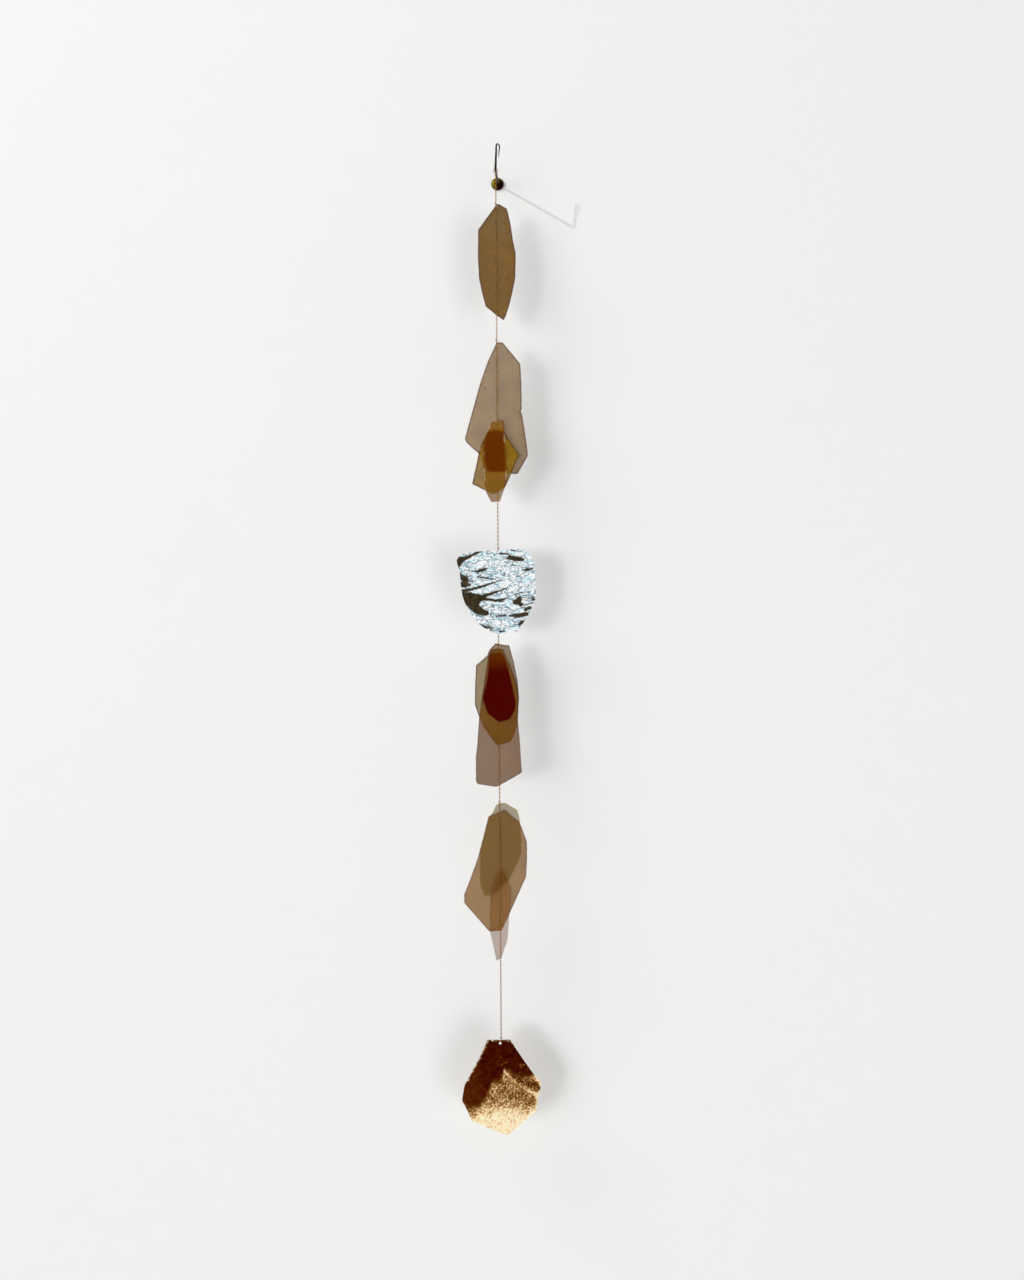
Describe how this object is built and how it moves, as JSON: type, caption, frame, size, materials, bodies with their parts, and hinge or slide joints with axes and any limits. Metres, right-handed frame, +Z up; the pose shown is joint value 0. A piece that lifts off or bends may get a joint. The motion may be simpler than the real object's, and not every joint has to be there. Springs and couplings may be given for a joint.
{
  "type": "hanging mobile sculpture",
  "caption": "Hanging mobile of hand-cut translucent mica plates and leafed metal plates strung along a fine brass chain from a wall hook.",
  "frame": {"origin": "centre of the wall rose's flat back, on the wall", "axes": "+Y points into the wall, -Y out towards the viewer, +Z up, +X to the viewer's right"},
  "size_m": [0.081, 0.0755, 0.9917],
  "materials": {
    "rose_brass": "worn satin",
    "arm_bronze": "dark patina",
    "chain_brass": "satin, aged",
    "mica_pale": "smooth cleaved mica, pale brown, see-through",
    "mica_amber": "smooth cleaved mica, amber, see-through",
    "mica_red": "smooth cleaved mica, dark red-brown, see-through",
    "silver_leaf": "crinkled silver leaf, worn through in patches",
    "copper_leaf": "crinkled copper-bronze leaf, dark patina at the top"
  },
  "bodies": {
    "root": {"wall_rose": "rose_brass", "hook_arm": "arm_bronze", "ring_top": "chain_brass", "chain": "chain_brass", "plate_1_mica": "mica_amber", "ring_1": "chain_brass", "plate_2a_mica": "mica_pale", "ring_2a": "chain_brass", "plate_2b_mica": "mica_amber", "ring_2b": "chain_brass", "plate_2c_mica": "mica_amber", "ring_2c": "chain_brass", "plate_2d_mica": "mica_pale", "ring_2d": "chain_brass", "plate_3_silver": "silver_leaf", "ring_3": "chain_brass", "plate_4a_mica": "mica_pale", "ring_4a": "chain_brass", "plate_4b_mica": "mica_red", "ring_4b": "chain_brass", "plate_4c_mica": "mica_pale", "ring_4c": "chain_brass", "plate_5a_mica": "mica_pale", "ring_5a": "chain_brass", "plate_5b_mica": "mica_amber", "ring_5b": "chain_brass", "plate_5c_mica": "mica_pale", "ring_5c": "chain_brass", "plate_6_copper": "copper_leaf", "ring_6": "chain_brass"}
  },
  "joints": []
}
